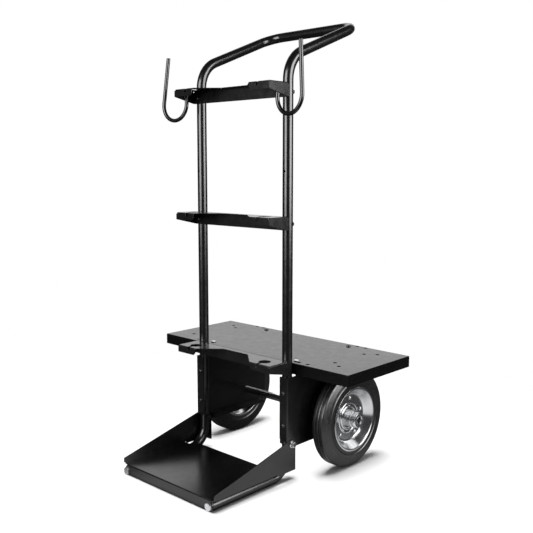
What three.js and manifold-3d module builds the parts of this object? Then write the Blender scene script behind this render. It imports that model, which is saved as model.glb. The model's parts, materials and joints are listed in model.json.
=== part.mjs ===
// Two-wheeled workshop cart for a welding power source and one gas cylinder.
// Millimetres, +Z up, front of the cart towards -Y, +X to the right of a
// person who stands in front of the cart and faces it; left and right in the
// names are meant that way.  Origin: centre of the footprint box, on the floor.
//
// The dimensions below are first given in a frame whose Y = 0 is the plane of
// the two upright tubes; the whole group is then shifted along Y so that the
// origin falls in the middle of the cart's overall length.

import * as THREE from 'three';
import { mergeVertices } from 'three/addons/utils/BufferGeometryUtils.js';
import Module from 'manifold-3d';

const wasm = await Module();
wasm.setup();

// ---------------------------------------------------------------- dimensions

const GAP = 0.3;                 // working gap between touching pieces
const SHEET = 2.0;               // sheet steel thickness

// bent tube frame
const TUBE_R = 12.5;             // 25 mm tube
const TUBE_WALL = 2.0;
const TUBE_X = 150;              // half the distance between the two tubes
const FOOT_BEND_R = 55;          // bend from the foot run to the upright
const TOP_BEND_R = 75;           // bend from the upright to the handle arm
const ARM_ANGLE = 21.5;          // slope of the handle arm, degrees
const ARM_KNEE_Z = 1014.4;       // where upright and arm axes would meet
const HANDLE_Y = 261.5;           // axis of the handle crossbar
const HANDLE_CORNER_R = 47;
const SEAM_Y = 213.5;             // joint between frame tube and handle bar
const SLEEVE_BACK = 40;          // inner sleeve reaches this far back from the joint
const SLEEVE_FRONT = 4;          // and this far into the handle bar

// foot tray
const TRAY_FRONT_Y = -258.9;
const TRAY_REAR_Y = -39.1;
const TRAY_NOTCH_X = 134;        // rear corners are cut out round the tubes
const TRAY_NOTCH_Y = -58;
const TRAY_LIP_END_R = 11.9;     // round ends of the lip, about the front bolts
const TRAY_LIP_LOW = 1;
const GUSSET_FRONT_Z = 39.7;
const GUSSET_LOW_Z = 23;
const GUSSET_REAR_TOP_Z = 79.5;
const GUSSET_BOLT_Z = 90.7;

// side plates that carry the axle and the shelf
const PLATE_REAR_Y = 250;
const PLATE_LOW_Z = 80.5;
const PLATE_NECK_Z = 259;        // top of the part in front of the shelf
const PLATE_FLANGE_LOW_Z = 97;
const PLATE_FLANGE_IN = 138.6;
const PLATE_SCREW_Z = [136.8, 218];

// shelf
const SHELF_HALF = 325;
const SHELF_FRONT_Y = 13;
const SHELF_REAR_Y = 267.8;
const SHELF_TOP_Z = 290.6;
const SHELF_SKIRT = 27.7;
const SHELF_HOLE_R = 4.5;
const SHELF_HOLE_SHIFT = -4;     // the bolt pattern sits a little to the left
const SHELF_HOLES = [
  [197, 26.5], [169.5, 26.5], [262, 65], [234.5, 85],
  [262, 223], [234.5, 204], [198, 260], [171.5, 260],
];
const SHELF_SCREWS = [[150, 34], [150, 244]];

// cylinder brackets
const BRACKET_TOPS = { lower: 300.2, middle: 648.5, upper: 957.4 };
const BRACKET_FRONT_Y = -78.6;
const BRACKET_FRONT_DEPTH = 18.5;
const BRACKET_REAR_DEPTH = 33.1;
const RECESS_MOUTH = 99;         // half width at the front edge
const RECESS_BACK = 44.5;        // half width at the back of the recess
const RECESS_BACK_Y = -29.3;
const KEYHOLE = { x: 124, y: -52, r: 15, slot: 8, drop: 10 };
const BRACKET_SCREW_DROP = 19.5;
const SPARE_HOLE_Z = 754;        // empty hole in each upright, for another bracket height

// cable hooks
const HOOK_R = 5;
const HOOK_Y = -42.5;            // at the top of the inner leg
const HOOK_BEND_R = 40.5;
const HOOK_BOTTOM_Z = 882.5;
const HOOK_LEAN = 5.6;           // outer leg towards the cart, degrees
const HOOK_YAW = 5.6;            // outer leg a little forward, degrees
const HOOK_RAKE = 3.2;           // whole hook tipped back, degrees
const HOOK_TIP_Z = 1043;

// wheels and axle
const WHEEL_R = 125;
const WHEEL_X = 203.3;
const WHEEL_Y = 175.6;
const RIM_R = 83;
const HUB_HALF = 23.3;
const HUB_R = 22;
const AXLE_R = 10;
const AXLE_BORE_R = 7.5;
const AXLE_HALF = 239.5;
const COLLAR_R = 20;
const COLLAR_END = 240.5;
const SET_SCREW_X = 233.5;
const RIVETS = 5;
const RIVET_CIRCLE_R = 50.7;
const RIVET_R = 5;

// outer faces of the folded sheets, from the tube outwards
const PLATE_X = TUBE_X + TUBE_R + GAP + SHEET;          // side plate outer face
const GUSSET_X = PLATE_X + GAP + SHEET;                 // gusset outer face
const PANEL_Y = -(TUBE_R + GAP + SHEET);                // front face of sheets on the tubes
const TRAY_TOP_Z = 2 * TUBE_R + GAP + SHEET;

const FOOT_BOLT_HEAD = 6.4;
const Y_MIN = TRAY_FRONT_Y - GAP - FOOT_BOLT_HEAD;
const Y_MAX = WHEEL_Y + WHEEL_R;
const Y_SHIFT = -(Y_MIN + Y_MAX) / 2;

// ----------------------------------------------------------------- materials

const mat = (color, roughness, metalness) =>
  new THREE.MeshStandardMaterial({ color, roughness, metalness });
const BLACK_COAT = () => mat(0x151617, 0.42, 0.1);
const ZINC = () => mat(0xc9ccd0, 0.28, 1.0);
const STEEL = () => mat(0x8d9095, 0.35, 1.0);
const DARK_FASTENER = () => mat(0x2a2b2d, 0.4, 0.7);
const RUBBER = () => mat(0x131313, 0.78, 0.0);
const BRONZE = () => mat(0x9a7a45, 0.4, 1.0);

// ------------------------------------------------------------------- helpers

const rad = THREE.MathUtils.degToRad;

function solid(geometry) {
  const g = geometry.index ? geometry.toNonIndexed() : geometry.clone();
  for (const name of Object.keys(g.attributes)) if (name !== 'position') g.deleteAttribute(name);
  const m = mergeVertices(g, 1e-4);
  return new wasm.Manifold(new wasm.Mesh({
    numProp: 3,
    vertProperties: new Float32Array(m.attributes.position.array),
    triVerts: new Uint32Array(m.index.array),
  }));
}

function geometryOf(manifold) {
  const mesh = manifold.getMesh();
  const n = mesh.numProp;
  const count = mesh.vertProperties.length / n;
  const position = new Float32Array(count * 3);
  for (let i = 0; i < count; i++)
    for (let k = 0; k < 3; k++) position[3 * i + k] = mesh.vertProperties[n * i + k];
  const g = new THREE.BufferGeometry();
  g.setAttribute('position', new THREE.BufferAttribute(position, 3));
  g.setIndex(new THREE.BufferAttribute(new Uint32Array(mesh.triVerts), 1));
  g.computeVertexNormals();
  return g;
}

const join = (...parts) => parts.map(solid).reduce((a, b) => a.add(b));
const cut = (body, ...tools) => tools.map(solid).reduce((a, b) => a.subtract(b), body);

const root = new THREE.Group();
root.name = 'welding_cart';
root.position.y = Y_SHIFT;

function piece(name, geometry, material) {
  const mesh = new THREE.Mesh(geometry, material);
  mesh.name = name;
  root.add(mesh);
  return mesh;
}

// box from its two corners
function box(x0, x1, y0, y1, z0, z1) {
  const g = new THREE.BoxGeometry(Math.abs(x1 - x0), Math.abs(y1 - y0), Math.abs(z1 - z0));
  return g.translate((x0 + x1) / 2, (y0 + y1) / 2, (z0 + z1) / 2);
}

// cylinder along an axis, between two stations
function rod(axis, r, from, to, a, b, sides = 12) {
  const g = new THREE.CylinderGeometry(r, r, Math.abs(to - from), sides);
  const mid = (from + to) / 2;
  if (axis === 'x') return g.rotateZ(-Math.PI / 2).translate(mid, a, b);
  if (axis === 'y') return g.translate(a, mid, b);
  return g.rotateX(Math.PI / 2).translate(a, b, mid);
}

// hexagon bar along an axis, by width across flats
const hex = (axis, flats, from, to, a, b) => rod(axis, flats / Math.sqrt(3), from, to, a, b, 6);

// flat outline in the XY plane, thickened from z0 to z1
function slabZ(points, z0, z1, holes = [], segments = 16) {
  const s = new THREE.Shape(points.map(([x, y]) => new THREE.Vector2(x, y)));
  for (const h of holes) {
    const p = new THREE.Path();
    p.absarc(h[0], h[1], h[2], 0, 2 * Math.PI, true);
    s.holes.push(p);
  }
  return new THREE.ExtrudeGeometry(s, { depth: z1 - z0, bevelEnabled: false, curveSegments: segments })
    .translate(0, 0, z0);
}

// flat outline given as (Y, Z), thickened from x0 to x1
function slabX(points, x0, x1) {
  const s = new THREE.Shape(points.map(([y, z]) => new THREE.Vector2(y, z)));
  const g = new THREE.ExtrudeGeometry(s, { depth: x1 - x0, bevelEnabled: false, curveSegments: 12 });
  const m = new THREE.Matrix4().makeBasis(
    new THREE.Vector3(0, 1, 0), new THREE.Vector3(0, 0, 1), new THREE.Vector3(1, 0, 0));
  return g.applyMatrix4(m).translate(x0, 0, 0);
}

// ring or disc turned about an axis parallel to X through (y, z); profile (x, r)
function turnX(profile, y, z, segments) {
  const points = profile.map(([x, r]) => new THREE.Vector2(r, x));
  points.push(points[0].clone());
  let area = 0;
  for (let i = 0; i + 1 < points.length; i++)
    area += points[i].x * points[i + 1].y - points[i + 1].x * points[i].y;
  if (area < 0) points.reverse();
  const g = new THREE.LatheGeometry(points, segments);
  return g.rotateZ(-Math.PI / 2).translate(0, y, z);
}

// a chain of straight runs and round bends, walked station by station
class BentPath extends THREE.Curve {
  constructor() {
    super();
    this.stations = [];
    this.directions = [];
  }
  static through(corners, bends, stepsPerBend) {
    const path = new BentPath();
    const n = corners.length;
    const put = (p, d) => { path.stations.push(p); path.directions.push(d); };
    for (let i = 0; i < n; i++) {
      const p = corners[i];
      if (i === 0) { put(p.clone(), corners[1].clone().sub(p).normalize()); continue; }
      if (i === n - 1) { put(p.clone(), p.clone().sub(corners[i - 1]).normalize()); continue; }
      const d0 = p.clone().sub(corners[i - 1]).normalize();
      const d1 = corners[i + 1].clone().sub(p).normalize();
      const turn = d0.angleTo(d1);
      const r = bends[i - 1];
      const start = p.clone().addScaledVector(d0, -r * Math.tan(turn / 2));
      const axis = d0.clone().cross(d1).normalize();
      const centre = start.clone().addScaledVector(axis.clone().cross(d0), r);
      const arm = start.clone().sub(centre);
      for (let k = 0; k <= stepsPerBend; k++) {
        const a = turn * k / stepsPerBend;
        put(centre.clone().add(arm.clone().applyAxisAngle(axis, a)), d0.clone().applyAxisAngle(axis, a));
      }
    }
    return path;
  }
  get steps() { return this.stations.length - 1; }
  getPoint(t, target = new THREE.Vector3()) {
    return target.copy(this.stations[Math.round(t * this.steps)]);
  }
  getPointAt(t, target) { return this.getPoint(t, target); }
  getTangent(t, target = new THREE.Vector3()) {
    return target.copy(this.directions[Math.round(t * this.steps)]);
  }
  getTangentAt(t, target) { return this.getTangent(t, target); }
}

function circle(r, sides) {
  const p = [];
  for (let i = 0; i < sides; i++) {
    const a = 2 * Math.PI * i / sides;
    p.push(new THREE.Vector2(r * Math.cos(a), r * Math.sin(a)));
  }
  return p;
}

function sweep(path, r, wall, sides) {
  const s = new THREE.Shape(circle(r, sides));
  if (wall) s.holes.push(new THREE.Path(circle(r - wall, sides)));
  return new THREE.ExtrudeGeometry(s, { steps: path.steps, bevelEnabled: false, extrudePath: path });
}

const V = (x, y, z) => new THREE.Vector3(x, y, z);

// ---------------------------------------------------------------- tube frame

const armDir = V(0, Math.cos(rad(ARM_ANGLE)), Math.sin(rad(ARM_ANGLE)));
const armZ = (y) => ARM_KNEE_Z + y * Math.tan(rad(ARM_ANGLE));
const TUBE_FRONT_Y = TRAY_FRONT_Y + SHEET + GAP;
const seamHalf = 0.15;

for (const [side, s] of [['left', -1], ['right', 1]]) {
  const x = s * TUBE_X;

  // foot run, upright and handle arm in one bent tube
  const seam = V(x, SEAM_Y, armZ(SEAM_Y)).addScaledVector(armDir, -seamHalf);
  const path = BentPath.through(
    [V(x, TUBE_FRONT_Y, TUBE_R), V(x, 0, TUBE_R), V(x, 0, ARM_KNEE_Z), seam],
    [FOOT_BEND_R, TOP_BEND_R], 5);
  const holes = [];
  for (const [level, top] of Object.entries(BRACKET_TOPS))
    holes.push(rod('y', 3.4, -20, level === 'lower' ? 0 : 20, x, top - BRACKET_SCREW_DROP, 8));
  for (const z of [...PLATE_SCREW_Z, SPARE_HOLE_Z]) holes.push(rod('y', 3.4, -20, 0, x, z, 8));
  holes.push(rod('x', 4.4, x - 20, x + 20, 0, GUSSET_BOLT_Z, 8));
  piece(`frame_tube_${side}`,
    geometryOf(cut(solid(sweep(path, TUBE_R, TUBE_WALL, 12)), ...holes)), BLACK_COAT());

  // short inner sleeve that joins the arm to the handle bar
  const mid = V(x, SEAM_Y, armZ(SEAM_Y));
  const sleeve = BentPath.through(
    [mid.clone().addScaledVector(armDir, -SLEEVE_BACK), mid.clone().addScaledVector(armDir, SLEEVE_FRONT)], [], 1);
  piece(`handle_sleeve_${side}`, sweep(sleeve, TUBE_R - TUBE_WALL - 0.5, 2, 12), STEEL());

  // threaded insert in the front end of the tube
  piece(`tube_insert_${side}`, geometryOf(cut(
    solid(rod('y', TUBE_R - TUBE_WALL - 0.5, TUBE_FRONT_Y + 0.5, TUBE_FRONT_Y + 22.5, x, TUBE_R, 12)),
    rod('y', 5, TUBE_FRONT_Y - 5, TUBE_FRONT_Y + 40, x, TUBE_R, 12))), STEEL());

  // hexagon bolt through the tray lip into the insert
  piece(`foot_bolt_${side}`, geometryOf(join(
    hex('y', 17, TRAY_FRONT_Y - GAP, Y_MIN, x, TUBE_R),
    rod('y', 4.7, TRAY_FRONT_Y - 3, TUBE_FRONT_Y + 20, x, TUBE_R, 12))), ZINC());

  // cross bolt: tube, side plate and gusset; head inside, flanged nut outside
  piece(`gusset_bolt_${side}`, geometryOf(join(
    hex('x', 13, s * (TUBE_X - TUBE_R - GAP), s * (TUBE_X - TUBE_R - GAP - 5.3), 0, GUSSET_BOLT_Z),
    rod('x', 4, s * (TUBE_X - TUBE_R - 3), s * (GUSSET_X + 11), 0, GUSSET_BOLT_Z, 12))), DARK_FASTENER());
  piece(`gusset_nut_${side}`, geometryOf(cut(
    join(
      rod('x', 9, s * (GUSSET_X + GAP), s * (GUSSET_X + GAP + 1.8), 0, GUSSET_BOLT_Z, 16),
      hex('x', 13, s * (GUSSET_X + GAP + 1), s * (GUSSET_X + GAP + 8.5), 0, GUSSET_BOLT_Z)),
    rod('x', 4.3, s * (GUSSET_X - 5), s * (GUSSET_X + 30), 0, GUSSET_BOLT_Z, 12))), ZINC());
}

// U-shaped handle bar between the two arms
{
  const seamUp = (x) => V(x, SEAM_Y, armZ(SEAM_Y)).addScaledVector(armDir, seamHalf);
  const z = armZ(HANDLE_Y);
  const path = BentPath.through(
    [seamUp(-TUBE_X), V(-TUBE_X, HANDLE_Y, z), V(TUBE_X, HANDLE_Y, z), seamUp(TUBE_X)],
    [HANDLE_CORNER_R, HANDLE_CORNER_R], 5);
  piece('handle_bar', sweep(path, TUBE_R, TUBE_WALL, 12), BLACK_COAT());
}

// ----------------------------------------------------------------- foot tray

{
  const parts = [
    box(-GUSSET_X, GUSSET_X, TRAY_FRONT_Y, TRAY_REAR_Y, TRAY_TOP_Z - SHEET, TRAY_TOP_Z),
    box(-TUBE_X, TUBE_X, TRAY_FRONT_Y, TRAY_FRONT_Y + SHEET, TRAY_LIP_LOW, TRAY_TOP_Z),
    rod('y', TRAY_LIP_END_R, TRAY_FRONT_Y, TRAY_FRONT_Y + SHEET, -TUBE_X, TUBE_R, 24),
    rod('y', TRAY_LIP_END_R, TRAY_FRONT_Y, TRAY_FRONT_Y + SHEET, TUBE_X, TUBE_R, 24),
    box(-TUBE_X - 8, TUBE_X + 8, TRAY_FRONT_Y, TRAY_FRONT_Y + SHEET, TUBE_R + 6, TRAY_TOP_Z),
  ];
  const yb = -PANEL_Y;
  const slope = (99 - GUSSET_FRONT_Z) / (-14.9 - TRAY_FRONT_Y);
  const onSlope = (y) => GUSSET_FRONT_Z + slope * (y - TRAY_FRONT_Y);
  const outline = [
    [TRAY_FRONT_Y, TRAY_TOP_Z - SHEET], [TRAY_NOTCH_Y, TRAY_TOP_Z - SHEET],
    [TRAY_NOTCH_Y + 2, GUSSET_LOW_Z], [yb, GUSSET_LOW_Z],
    [yb, 93], [11.5, 98.5], [5.5, 102.4], [-1.5, onSlope(-1.5)],
    [TRAY_FRONT_Y + 3, onSlope(TRAY_FRONT_Y + 3)], [TRAY_FRONT_Y, GUSSET_FRONT_Z - 2],
  ];
  for (const s of [-1, 1]) {
    const x0 = Math.min(s * GUSSET_X, s * (GUSSET_X - SHEET));
    parts.push(slabX(outline, x0, x0 + SHEET));
    // flange folded in behind the upright
    parts.push(box(s * 140.1, s * GUSSET_X, yb - SHEET, yb, GUSSET_LOW_Z, GUSSET_REAR_TOP_Z));
  }
  const tools = [];
  for (const s of [-1, 1]) {
    tools.push(rod('y', 5.3, TRAY_FRONT_Y - 5, TRAY_FRONT_Y + 8, s * TUBE_X, TUBE_R, 12));
    tools.push(rod('x', 4.4, s * (GUSSET_X - 6), s * (GUSSET_X + 6), 0, GUSSET_BOLT_Z, 12));
    // rear corner cut out of the plate, round the bend of the tube
    tools.push(box(s * TRAY_NOTCH_X, s * (GUSSET_X - SHEET), TRAY_NOTCH_Y, TRAY_REAR_Y + 10,
      TRAY_TOP_Z - SHEET - 5, TRAY_TOP_Z + 5));
  }
  piece('foot_tray', geometryOf(cut(join(...parts), ...tools)), BLACK_COAT());
}

// --------------------------------------------------------------- side plates

const SHELF_UNDER = SHELF_TOP_Z - SHEET;
for (const [side, s] of [['left', -1], ['right', 1]]) {
  const xo = s * PLATE_X;
  const xi = s * (PLATE_X - SHEET);
  const top = SHELF_UNDER - GAP;
  const step = SHELF_FRONT_Y + SHEET + 1.5;
  const web = [
    [PANEL_Y, PLATE_LOW_Z + 14], [PANEL_Y + 6, PLATE_LOW_Z], [PLATE_REAR_Y - 12, PLATE_LOW_Z],
    [PLATE_REAR_Y, PLATE_LOW_Z + 12], [PLATE_REAR_Y, top], [step, top], [step, PLATE_NECK_Z],
    [PANEL_Y, PLATE_NECK_Z],
  ];
  const x0 = Math.min(xo, xi);
  const body = join(
    slabX(web, x0, x0 + SHEET),
    box(s * PLATE_FLANGE_IN, xo, PANEL_Y, PANEL_Y + SHEET, PLATE_FLANGE_LOW_Z, PLATE_NECK_Z),
    box(s * PLATE_FLANGE_IN, xo, step, PLATE_REAR_Y, top - SHEET, top),
    box(s * 139.6, xo, 16.5, PLATE_REAR_Y - 20, PLATE_LOW_Z, PLATE_LOW_Z + SHEET));
  const tools = [
    rod('x', AXLE_R + 0.35, xo - 10, xo + 10, WHEEL_Y, WHEEL_R, 16),
    rod('x', 4.4, xo - 10, xo + 10, 0, GUSSET_BOLT_Z, 12),
  ];
  for (const z of PLATE_SCREW_Z) tools.push(rod('y', 3.4, PANEL_Y - 5, PANEL_Y + 5, s * TUBE_X, z, 8));
  for (const [x, y] of SHELF_SCREWS) tools.push(rod('z', 3.4, top - 10, top + 10, s * x, y, 8));
  piece(`side_plate_${side}`, geometryOf(cut(body, ...tools)), BLACK_COAT());

  // pan head screws through the front flange into the tube
  PLATE_SCREW_Z.forEach((z, i) => {
    piece(`side_plate_screw_${i ? 'upper' : 'lower'}_${side}`, geometryOf(join(
      rod('y', 6, PANEL_Y - GAP, PANEL_Y - GAP - 3.6, s * TUBE_X, z, 12),
      rod('y', 3, PANEL_Y - 1, PANEL_Y + 12, s * TUBE_X, z, 8))), DARK_FASTENER());
  });

  // domed screws through the shelf into the top flange, zinc in front, black behind
  SHELF_SCREWS.forEach(([x, y], i) => {
    piece(`shelf_screw_${i ? 'rear' : 'front'}_${side}`, geometryOf(join(
      new THREE.CylinderGeometry(3.6, 6.2, 3.4, 12).rotateX(Math.PI / 2)
        .translate(s * x, y, SHELF_TOP_Z + GAP + 1.7),
      rod('z', 3, SHELF_TOP_Z + 1, top - SHEET - 8, s * x, y, 8))), i ? DARK_FASTENER() : ZINC());
  });
}

// --------------------------------------------------------------------- shelf

{
  const W = SHELF_HALF, y0 = SHELF_FRONT_Y, y1 = SHELF_REAR_Y;
  const low = SHELF_TOP_Z - SHELF_SKIRT;
  const holes = [];
  for (const s of [-1, 1]) {
    for (const [x, y] of SHELF_HOLES) holes.push([SHELF_HOLE_SHIFT + s * x, y, SHELF_HOLE_R]);
    for (const [x, y] of SHELF_SCREWS) holes.push([s * x, y, 3.4]);
  }
  const body = join(
    slabZ([[-W, y0], [W, y0], [W, y1], [-W, y1]], SHELF_TOP_Z - SHEET, SHELF_TOP_Z, holes, 4),
    box(-W, W, y0, y0 + SHEET, low, SHELF_TOP_Z - 0.5),
    box(-W, W, y1 - SHEET, y1, low, SHELF_TOP_Z - 0.5),
    box(-W, -W + SHEET, y0, y1, low, SHELF_TOP_Z - 0.5),
    box(W - SHEET, W, y0, y1, low, SHELF_TOP_Z - 0.5));
  piece('shelf_tray', geometryOf(body), BLACK_COAT());
}

// ---------------------------------------------------------- cylinder brackets

for (const [level, top] of Object.entries(BRACKET_TOPS)) {
  const W = PLATE_X, yf = BRACKET_FRONT_Y, yr = PANEL_Y;
  const holes = [-1, 1].map((s) => [s * KEYHOLE.x, KEYHOLE.y, KEYHOLE.r]);
  const parts = [
    slabZ([
      [-W, yr + SHEET], [-W, yf], [-RECESS_MOUTH, yf], [-RECESS_BACK, RECESS_BACK_Y],
      [RECESS_BACK, RECESS_BACK_Y], [RECESS_MOUTH, yf], [W, yf], [W, yr + SHEET],
    ], top - SHEET, top, holes, 8),
    box(-W, W, yr, yr + SHEET, top - BRACKET_REAR_DEPTH, top - 0.5),
  ];
  const flank = [
    [yf, top - 0.5], [yf, top - BRACKET_FRONT_DEPTH], [yr + SHEET, top - BRACKET_REAR_DEPTH], [yr + SHEET, top - 0.5],
  ];
  for (const s of [-1, 1]) {
    const x0 = Math.min(s * W, s * (W - SHEET));
    parts.push(slabX(flank, x0, x0 + SHEET));
    parts.push(box(s * RECESS_MOUTH, s * W, yf, yf + SHEET, top - BRACKET_FRONT_DEPTH, top - 0.5));
  }
  const tools = [];
  for (const s of [-1, 1]) {
    tools.push(box(s * KEYHOLE.x - KEYHOLE.slot / 2, s * KEYHOLE.x + KEYHOLE.slot / 2,
      yf - 5, KEYHOLE.y, top - KEYHOLE.drop, top + 5));
    tools.push(rod('y', 3.4, yr - 5, yr + 5, s * TUBE_X, top - BRACKET_SCREW_DROP, 8));
  }
  piece(`bracket_${level}`, geometryOf(cut(join(...parts), ...tools)), BLACK_COAT());

  // one through screw with a nut behind the tube on each side; the lower
  // bracket, in front of the shelf, has short screws into the tube wall
  const through = level !== 'lower';
  for (const [side, s] of [['left', -1], ['right', 1]]) {
    const z = top - BRACKET_SCREW_DROP;
    piece(`bracket_screw_${level}_${side}`, geometryOf(join(
      rod('y', 5.6, yr - GAP, yr - GAP - 3.4, s * TUBE_X, z, 12),
      rod('y', 3, yr - 1, through ? TUBE_R + 7.5 : -TUBE_R + 9, s * TUBE_X, z, 8))), DARK_FASTENER());
    if (through) piece(`bracket_nut_${level}_${side}`, geometryOf(cut(
      solid(hex('y', 10, TUBE_R + GAP, TUBE_R + GAP + 5.2, s * TUBE_X, z)),
      rod('y', 3.3, TUBE_R - 5, TUBE_R + 20, s * TUBE_X, z, 8))), DARK_FASTENER());
  }
}

// --------------------------------------------------------------- cable hooks

for (const [side, s] of [['left', -1], ['right', 1]]) {
  const top = BRACKET_TOPS.upper;
  const xIn = PLATE_X - SHEET - GAP - HOOK_R;
  const lean = rad(HOOK_LEAN);
  const zc = HOOK_BOTTOM_Z + HOOK_BEND_R;
  // straight inner leg, half round and a bit more, then the long outer leg
  const path = new BentPath();
  const yaw = rad(HOOK_YAW), rake = Math.tan(rad(HOOK_RAKE));
  // u: distance outwards from the inner leg
  const put = (u, z, du, dz) => {
    path.stations.push(V(s * (xIn + u * Math.cos(yaw)), HOOK_Y - u * Math.sin(yaw) + (z - top) * rake, z));
    path.directions.push(V(s * du * Math.cos(yaw), -du * Math.sin(yaw) + dz * rake, dz).normalize());
  };
  put(0, top - SHEET - GAP, 0, -1);
  const n = 12;
  for (let k = 0; k <= n; k++) {
    const a = Math.PI + (Math.PI + lean) * k / n;
    put(HOOK_BEND_R + HOOK_BEND_R * Math.cos(a), zc + HOOK_BEND_R * Math.sin(a), -Math.sin(a), Math.cos(a));
  }
  const ue = HOOK_BEND_R + HOOK_BEND_R * Math.cos(lean), ze = zc + HOOK_BEND_R * Math.sin(lean);
  put(ue - (HOOK_TIP_Z - ze) * Math.tan(lean), HOOK_TIP_Z, -Math.sin(lean), Math.cos(lean));
  piece(`cable_hook_${side}`, sweep(path, HOOK_R, 0, 12), BLACK_COAT());
}

// ------------------------------------------------------------ axle and wheels

const ring = (x0, x1, ri, ro, segments) =>
  turnX([[x0, ri], [x1, ri], [x1, ro], [x0, ro]], WHEEL_Y, WHEEL_R, segments);

piece('axle', ring(-AXLE_HALF, AXLE_HALF, AXLE_BORE_R, AXLE_R, 16), STEEL());

for (const [side, s] of [['left', -1], ['right', 1]]) {
  const span = (a, b) => [Math.min(s * a, s * b), Math.max(s * a, s * b)];
  const at = (profile) => profile.map(([dx, r]) => [s * (WHEEL_X + dx), r]);

  piece(`axle_spacer_${side}`,
    ring(...span(PLATE_X + GAP, WHEEL_X - HUB_HALF - 0.7), AXLE_R + 0.3, 15, 16), STEEL());
  // shaft collar with a set screw from the front
  const collarX = s * SET_SCREW_X;
  piece(`axle_collar_${side}`, geometryOf(cut(
    solid(ring(...span(WHEEL_X + HUB_HALF + 0.8, COLLAR_END), AXLE_R + 0.3, COLLAR_R, 16)),
    rod('y', 3.3, WHEEL_Y - 30, WHEEL_Y, collarX, WHEEL_R, 8))), ZINC());
  piece(`collar_set_screw_${side}`,
    rod('y', 3, WHEEL_Y - COLLAR_R - 0.8, WHEEL_Y - AXLE_R - GAP, collarX, WHEEL_R, 8), STEEL());

  piece(`wheel_hub_${side}`, ring(...span(WHEEL_X - HUB_HALF, WHEEL_X + HUB_HALF), 14.5, HUB_R, 16), ZINC());
  piece(`hub_bush_inner_${side}`,
    ring(...span(WHEEL_X - HUB_HALF + 0.2, WHEEL_X - HUB_HALF + 16), AXLE_R + 0.45, 14.1, 16), BRONZE());
  piece(`hub_bush_outer_${side}`,
    ring(...span(WHEEL_X + HUB_HALF - 16, WHEEL_X + HUB_HALF - 0.2), AXLE_R + 0.45, 14.1, 16), BRONZE());

  // two pressed rim halves back to back, with their rivet heads
  const rimHalf = [
    [0.15, HUB_R + 0.3], [2.15, HUB_R + 0.3], [2.15, 59], [7, 64], [21, 75], [24, 77],
    [24, RIM_R], [22, RIM_R], [22, 78.6], [5.8, 65.8], [0.15, 60],
  ];
  for (const [face, f] of [['outer', 1], ['inner', -1]]) {
    const profile = rimHalf.map(([dx, r]) => [f * dx, r]);
    const heads = [];
    for (let k = 0; k < RIVETS; k++) {
      const a = rad(85 + 72 * k);
      const y = WHEEL_Y + RIVET_CIRCLE_R * Math.cos(a), z = WHEEL_R + RIVET_CIRCLE_R * Math.sin(a);
      heads.push(rod('x', RIVET_R, s * (WHEEL_X + f * 1), s * (WHEEL_X + f * 4.8), y, z, 6));
    }
    piece(`rim_${face}_${side}`, geometryOf(join(turnX(at(profile), WHEEL_Y, WHEEL_R, 20), ...heads)), ZINC());
  }

  // solid rubber tyre seated between the rim lips
  const half = [
    [5.5, 66.6], [19.8, 77.9], [21.6, 79.2], [21.6, 90], [23.5, 94],
    [23.5, 98.5], [20.9, 108], [17.4, 119.2], [15.9, 122.8], [14.2, 124.5],
  ];
  const tyre = [[0, 60.8], ...half, [0, WHEEL_R], ...half.slice().reverse().map(([dx, r]) => [-dx, r])];
  piece(`tyre_${side}`, turnX(at(tyre), WHEEL_Y, WHEEL_R, 32), RUBBER());
}

export default root;
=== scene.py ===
import json
import math
import bpy
import bmesh
import numpy as np
from mathutils import Vector, Matrix

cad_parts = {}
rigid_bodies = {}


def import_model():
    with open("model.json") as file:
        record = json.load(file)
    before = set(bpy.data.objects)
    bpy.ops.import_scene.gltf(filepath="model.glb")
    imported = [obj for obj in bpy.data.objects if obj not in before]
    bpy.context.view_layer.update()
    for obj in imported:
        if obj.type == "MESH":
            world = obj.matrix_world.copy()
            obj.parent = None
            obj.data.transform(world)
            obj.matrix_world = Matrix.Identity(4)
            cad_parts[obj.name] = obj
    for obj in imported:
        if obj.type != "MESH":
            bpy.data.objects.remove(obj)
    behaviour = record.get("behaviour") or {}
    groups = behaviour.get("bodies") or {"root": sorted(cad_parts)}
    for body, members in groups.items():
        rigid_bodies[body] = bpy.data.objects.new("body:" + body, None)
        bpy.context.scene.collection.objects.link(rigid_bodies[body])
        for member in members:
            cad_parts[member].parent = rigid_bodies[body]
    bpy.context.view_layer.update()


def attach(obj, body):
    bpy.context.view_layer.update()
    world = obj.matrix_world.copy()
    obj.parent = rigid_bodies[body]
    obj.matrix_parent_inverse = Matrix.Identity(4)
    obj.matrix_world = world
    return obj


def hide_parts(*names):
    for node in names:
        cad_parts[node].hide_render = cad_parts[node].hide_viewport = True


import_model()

# ------------------------------------------------------------------ dimensions
# Millimetres, in the frame whose Y = 0 is the plane of the two uprights.
MM = 0.001
Y_SHIFT = -17.5
GAP, SHEET = 0.3, 2.0
TUBE_R, TUBE_WALL, TUBE_X = 12.5, 2.0, 150.0
FOOT_BEND_R, TOP_BEND_R = 55.0, 75.0
ARM_ANGLE, ARM_KNEE_Z = math.radians(21.5), 1014.4
HANDLE_Y, HANDLE_CORNER_R = 261.5, 47.0
SEAM_Y, SLEEVE_BACK, SLEEVE_FRONT = 213.5, 40.0, 4.0
TRAY_FRONT_Y, TRAY_REAR_Y = -258.9, -39.1
TRAY_TOP_Z = 27.3
GUSSET_FRONT_Z, GUSSET_LOW_Z, GUSSET_REAR_TOP_Z, GUSSET_BOLT_Z = 39.7, 23.0, 79.5, 90.7
PLATE_X, GUSSET_X, PANEL_Y = 164.8, 167.1, -14.8
PLATE_REAR_Y, PLATE_LOW_Z, PLATE_NECK_Z, PLATE_FLANGE_LOW_Z, PLATE_FLANGE_IN = 250.0, 80.5, 259.0, 97.0, 138.6
PLATE_SCREW_Z = (136.8, 218.0)
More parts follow.
